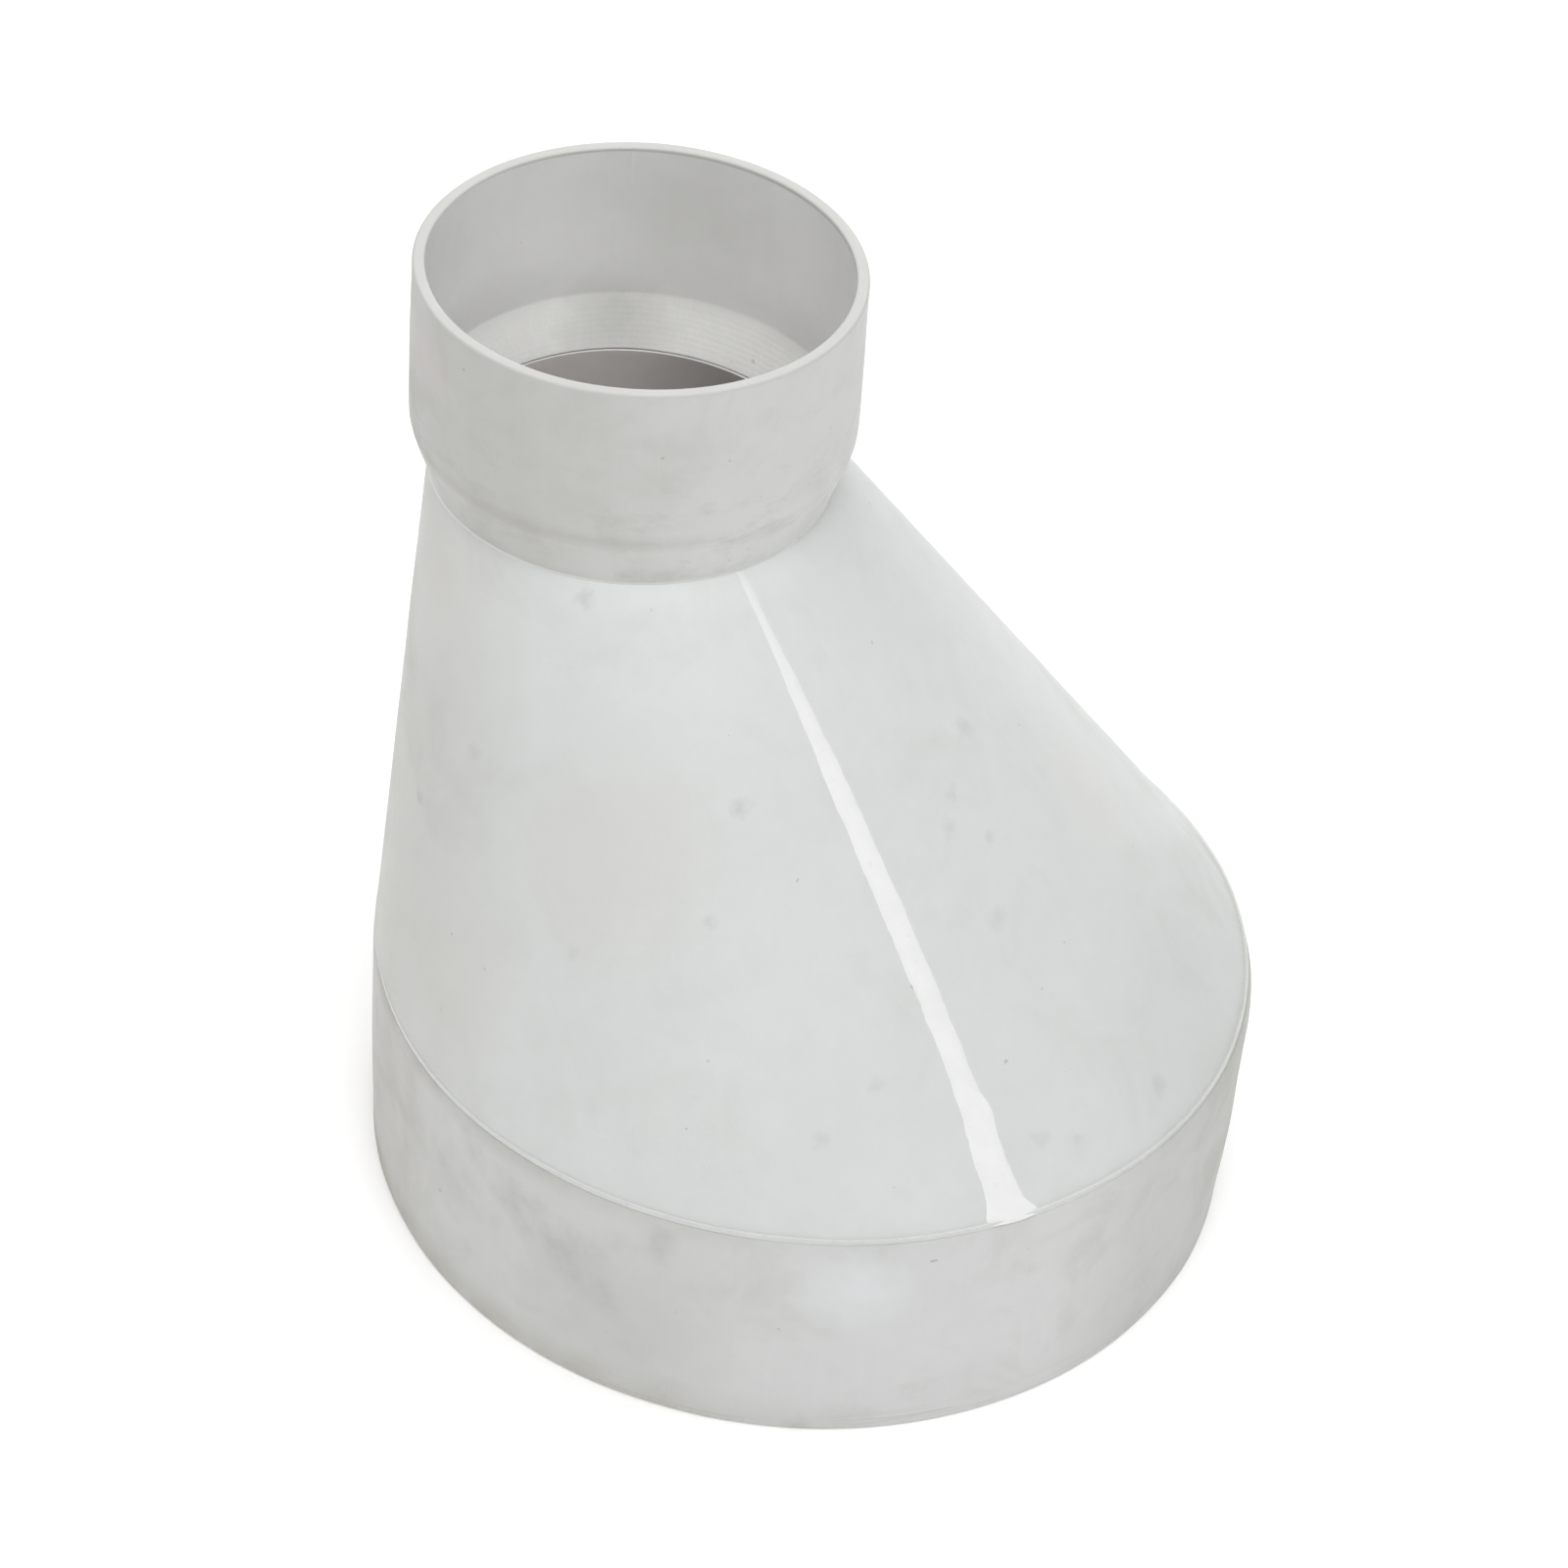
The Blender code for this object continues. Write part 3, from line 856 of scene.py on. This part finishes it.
# Linings: the insides, seen through the small end's mouth, with painted light on them.
# The small end's lining is far lighter than the pipe outside: partly a cleaner inside, partly
# painted light for the light that reaches in.
SOCKET_LINING = (0.94, 0.94, 0.93)
SOCKET_LINING_DIRT = (0.60, 0.60, 0.57)
CONE_LINING = (0.575, 0.547, 0.535)
CONE_LINING_DIRT = (0.46, 0.45, 0.43)
LEDGE_TINT = (0.945, 0.945, 0.935)
INNER_RIM = (0.58, 0.582, 0.555)
LINING_RIGHT_LIGHT_TINT = (1.07, 1.07, 1.07)
LINING_LEFT_LIGHT_TINT = (1.30, 1.30, 1.30)
LINING_SMUDGES = (
    (Vector((SMALL_X - 0.026, 0.043, 0.206)), 17 * MM, 0.72),
    (Vector((SMALL_X - 0.012, 0.050, 0.238)), 34 * MM, 0.38),
)


def lining_look(name, colour, dirt, smudges):
    """The inside of a piece, in a colour of its own. The small end's has smudges and painted
    light on its right; the cone's has none and painted light on its left."""
    look = Look(name)
    tone, film, scratch, lines = worn_plastic(look, colour, dirt, 0.12, DRAWN_PIPE)
    height = look.height()
    above_bend = look.span(look.off(height, BEND_Z + 4 * MM), 0.0, 9 * MM, 0.42, 0.0)
    tone = look.mix(above_bend, tone, shade(colour, 0.82))
    ledge = look.span(height, BEND_Z - 1 * MM, BEND_Z + 3 * MM, 1.0, 0.0)
    tone = look.tint(ledge, tone, LEDGE_TINT)
    cut = look.span(height, TOP_Z - 0.8 * MM, TOP_Z - 0.4 * MM)
    tone = look.mix(cut, tone, INNER_RIM)
    if smudges:
        tone = look.mix(look.blots(smudges, look.smeared(10 * MM, 120.0)), tone, dirt)
        # Painted light: the small end's inside lighter at its right.
        painted_light = look.span(look.towards(10), -19 * MM, -9 * MM)
        tone = look.tint(painted_light, tone, LINING_RIGHT_LIGHT_TINT)
    else:
        # Painted light: the cone's inside much lighter at its left.
        painted_light = look.span(look.towards(LEFT), 36 * MM, 60 * MM)
        tone = look.tint(painted_light, tone, LINING_LEFT_LIGHT_TINT)
    return finish_plastic(look, tone, film, scratch, lines, 0.42)


# The sheet's marks, and tints that paint light and shade on it.
WARM_SHEET = (0.655, 0.648, 0.628)
SHEET_SPOT = (0.40, 0.415, 0.41)
SCORCH = (0.56, 0.55, 0.50)
NEAR_NECK_LIGHT_TINT = (1.095, 1.097, 1.097)
CONE_RIGHT_SHADE_TINT = (0.91, 0.91, 0.91)
CONE_LEFT_SHADE_TINT = (0.893, 0.873, 0.845)
UNDER_NECK_LIGHT_TINT = (1.08, 1.08, 1.08)


def cone_look():
    look = Look("cone_pvc")
    tone, film, scratch, lines = worn_plastic(look, SHEET_COLOUR, SHEET_DIRT, 0.20, DRAWN_SHEET)
    ragged_place = look.smeared(14 * MM, 80.0)

    warm = look.blots([
        (on_cone(-83, 140), 30 * MM, 0.7), (on_cone(-69, 155), 12 * MM, 0.6),
        (on_cone(-116, 96), 26 * MM, 0.5), (on_cone(112, 130), 30 * MM, 0.6),
        (on_cone(-123, 182), 16 * MM, 0.5), (on_cone(19, 120), 20 * MM, 0.45),
    ], ragged_place)
    tone = look.mix(warm, tone, WARM_SHEET)

    spots = look.blots([
        (on_cone(-130, 126), 2.6 * MM, 0.40), (on_cone(-55, 154), 3.0 * MM, 0.32),
        (on_cone(-77, 194), 3.2 * MM, 0.32), (on_cone(-10, 76), 3.6 * MM, 0.22),
        (on_cone(-19, 120), 4.0 * MM, 0.18), (on_cone(-67, 131), 2.6 * MM, 0.22),
        (on_cone(-60, 88), 3.0 * MM, 0.20), (on_cone(-18, 139), 3.4 * MM, 0.22),
        (on_cone(62, 110), 3.2 * MM, 0.20), (on_cone(152, 150), 3.6 * MM, 0.20),
        (on_cone(0, 151), 3.8 * MM, 0.26), (on_cone(-13, 144), 2.6 * MM, 0.24),
        (on_cone(-11, 133), 2.6 * MM, 0.24), (on_cone(-31, 80), 3.4 * MM, 0.17),
        (on_cone(-26, 77), 3.0 * MM, 0.22), (on_cone(-50, 98), 2.6 * MM, 0.18),
        (on_cone(-112, 150), 2.8 * MM, 0.18), (on_cone(-92, 118), 2.4 * MM, 0.16),
    ], look.smeared(5.5 * MM, 300.0))
    tone = look.mix(spots, tone, SHEET_SPOT)

    height = look.height()
    # Painted light: the cone's front lighter towards the neck, where the small end's overhang
    # would shade it.
    light_near_neck = look.span(height, NECK_Z - 45 * MM, NECK_Z - 2 * MM, 0.0, 0.9)
    in_front = look.span(look.towards(-80), 0.0, 34 * MM, 0.1, 1.0)
    tone = look.tint(look.times(light_near_neck, in_front), tone, NEAR_NECK_LIGHT_TINT)
    # Painted shade: the cone darker on its right and, warmer, on its left, where less light
    # falls.
    painted_shade = look.span(look.towards(20), 70 * MM, 112 * MM, 0.0, 1.0)
    tone = look.tint(painted_shade, tone, CONE_RIGHT_SHADE_TINT)
    painted_shade = look.span(look.towards(LEFT), 74 * MM, 109 * MM)
    tone = look.tint(painted_shade, tone, CONE_LEFT_SHADE_TINT)

    # Painted light: a thin lighter band on the cone just under the neck joint, on its right
    # front.
    under_neck_light = look.span(height, NECK_Z - 8 * MM, NECK_Z - 1 * MM)
    under_neck_light = look.times(under_neck_light, look.span(look.towards(-40), -20 * MM, 0.0))
    tone = look.tint(under_neck_light, tone, UNDER_NECK_LIGHT_TINT)

    at_base = look.span(height, BASE_Z + 1 * MM, BASE_Z + 9 * MM, 1.0, 0.0)
    at_neck = look.span(height, NECK_Z - 9 * MM, NECK_Z - 1 * MM)
    scorched = look.span(look.cloud(85.0, 5.0, 0.6), 0.38, 0.66)
    scorch = look.times(look.math("MAXIMUM", at_base, at_neck), scorched)
    tone = look.mix(look.times(scorch, 0.08), tone, SCORCH)
    return finish_plastic(look, tone, film, scratch, lines, 0.40)


# Filler: its darkest and lightest clouds on the seam and on the round beads.
SEAM_DARK, SEAM_LIGHT = (0.83, 0.838, 0.83), (0.86, 0.866, 0.86)
BEAD_DARK, BEAD_LIGHT = (0.62, 0.63, 0.62), (0.665, 0.675, 0.665)
SOOT = (0.52, 0.50, 0.46)
THIN_TINT = (0.97, 0.975, 0.975)
BEAD_RIGHT_SHADE_TINT = (0.80, 0.80, 0.78)
COAT_ROUGHNESS = 0.12


def filler_look(name, dark, light, soot_amount, thin_tint=None):
    """Filler rod melted on: glossy and rippled, with a little soot picked up, and painted shade
    darkening it at the right of the base joint. thin_tint is for a bead that thins out towards
    the neck."""
    look = Look(name)
    clouds = look.span(look.cloud(140.0, 4.0, 0.6), 0.3, 0.7)
    tone = look.mix(clouds, dark, light)
    if thin_tint:
        thin = look.span(look.height(), NECK_Z - 44 * MM, NECK_Z - 8 * MM)
        tone = look.tint(thin, tone, thin_tint)
    # Painted shade: the filler darker towards the right of the base joint.
    painted_shade = look.span(look.towards(12), 84 * MM, 112 * MM)
    tone = look.tint(painted_shade, tone, BEAD_RIGHT_SHADE_TINT)
    soot = look.span(look.cloud(420.0, 3.0, 0.6), 0.58, 0.74, 0.0, soot_amount)
    tone = look.mix(soot, tone, SOOT)
    look.put(look.shader.inputs["Base Color"], tone)
    rough = look.span(look.cloud(300.0, 4.0, 0.6), 0.3, 0.7, 0.26, 0.40)
    look.put(look.shader.inputs["Roughness"], rough)
    look.shader.inputs["IOR"].default_value = PVC_IOR
    look.shader.inputs["Coat Weight"].default_value = 0.25
    look.shader.inputs["Coat Roughness"].default_value = COAT_ROUGHNESS
    normal = look.bump(look.cloud(260.0, 3.0, 0.5), 0.07 * MM)
    look.put(look.shader.inputs["Normal"], normal)
    return look.material


FLOOR_DARK, FLOOR_LIGHT = (0.95, 0.95, 0.95), (0.97, 0.97, 0.97)
FLOOR_GLOW = 0.12


def floor_paint():
    """White paint that glows faintly, so that shadows on it almost vanish."""
    look = Look("floor_paint")
    tone = look.mix(look.cloud(3.0, 2.0), FLOOR_DARK, FLOOR_LIGHT)
    look.put(look.shader.inputs["Base Color"], tone)
    look.shader.inputs["Roughness"].default_value = 0.9
    look.shader.inputs["Specular IOR Level"].default_value = 0.1
    look.shader.inputs["Emission Color"].default_value = WHITE
    look.shader.inputs["Emission Strength"].default_value = FLOOR_GLOW
    return look.material


# Stage

FLOOR_REACH = 20.0


def studio_floor():
    shape = bmesh.new()
    bmesh.ops.create_grid(shape, x_segments=4, y_segments=4, size=FLOOR_REACH)
    mesh = bpy.data.meshes.new("floor")
    shape.to_mesh(mesh)
    shape.free()
    floor = bpy.data.objects.new("floor", mesh)
    floor.location.z = CAD_LOW.z
    bpy.context.scene.collection.objects.link(floor)
    mesh.materials.append(floor_paint())


LIGHT_DISTANCE = 6.0
LIGHT_SIZE = 4.2
BACKDROP_STRENGTH = 0.235

# Soft lights: name, bearing from the part's front and height in degrees, power, colour.
LIGHTS = (
    ("overhead", 0, 90, 80, (1.0, 1.0, 1.0)),
    ("key", 20, 60, 162, (1.0, 1.0, 1.0)),
    ("right", 80, 60, 48, (1.0, 1.0, 1.0)),
    ("back", 200, 30, 102, (1.0, 1.0, 0.99)),
    ("back_right", 140, 55, 31, (1.0, 1.0, 1.0)),
    ("back_left", -110, 55, 48, (1.0, 0.98, 0.93)),
)


def direction(azimuth, elevation):
    """Away from the part, by a bearing from its front (-Y) and a height, in degrees."""
    azimuth, elevation = math.radians(azimuth), math.radians(elevation)
    return Vector((
        math.sin(azimuth) * math.cos(elevation),
        -math.cos(azimuth) * math.cos(elevation),
        math.sin(elevation),
    ))


def soft_light(name, azimuth, elevation, power, colour):
    towards = direction(azimuth, elevation)
    lamp = bpy.data.lights.new(name, "AREA")
    lamp.size = LIGHT_SIZE
    lamp.energy = power
    lamp.color = colour
    holder = bpy.data.objects.new(name, lamp)
    holder.location = towards * LIGHT_DISTANCE
    holder.rotation_euler = (-towards).to_track_quat("-Z", "Y").to_euler()
    bpy.context.scene.collection.objects.link(holder)


def studio_light():
    world = bpy.data.worlds.new("studio")
    world.use_nodes = True
    backdrop = world.node_tree.nodes["Background"]
    backdrop.inputs["Color"].default_value = WHITE
    backdrop.inputs["Strength"].default_value = BACKDROP_STRENGTH
    bpy.context.scene.world = world
    for light in LIGHTS:
        soft_light(*light)
    bpy.context.scene.view_settings.view_transform = "Standard"


def studio_camera():
    azimuth = math.radians(CAMERA_AZIMUTH)
    roll = math.radians(CAMERA_ROLL)
    back = direction(CAMERA_AZIMUTH, CAMERA_ELEVATION)
    level = Vector((math.cos(azimuth), math.sin(azimuth), 0.0))
    upright = back.cross(level)
    right = level * math.cos(roll) + upright * math.sin(roll)
    up = upright * math.cos(roll) - level * math.sin(roll)
    lens = bpy.data.cameras.new("camera")
    lens.sensor_width = 36.0
    lens.lens = CAMERA_LENS
    lens.clip_start = 0.05
    lens.clip_end = 50.0
    holder = bpy.data.objects.new("camera", lens)
    holder.matrix_world = Matrix.Translation(CAMERA_AIM + back * CAMERA_DISTANCE) @ Matrix(
        (right, up, back)
    ).transposed().to_4x4()
    bpy.context.scene.collection.objects.link(holder)
    bpy.context.scene.camera = holder


studio_camera()
studio_light()
studio_floor()
seam_filler = filler_look("seam_filler", SEAM_DARK, SEAM_LIGHT, 0.05, THIN_TINT)
bead_filler = filler_look("bead_filler", BEAD_DARK, BEAD_LIGHT, 0.08)
socket_lining = lining_look("socket_lining", SOCKET_LINING, SOCKET_LINING_DIRT, LINING_SMUDGES)
cone_lining = lining_look("cone_lining", CONE_LINING, CONE_LINING_DIRT, ())
large_collar(collar_look())
small_socket(socket_look(), socket_lining)
cone_shell(cone_look(), cone_lining)
cone_seam_weld(seam_filler)
base_weld(bead_filler)
neck_weld(bead_filler)
bpy.context.view_layer.update()
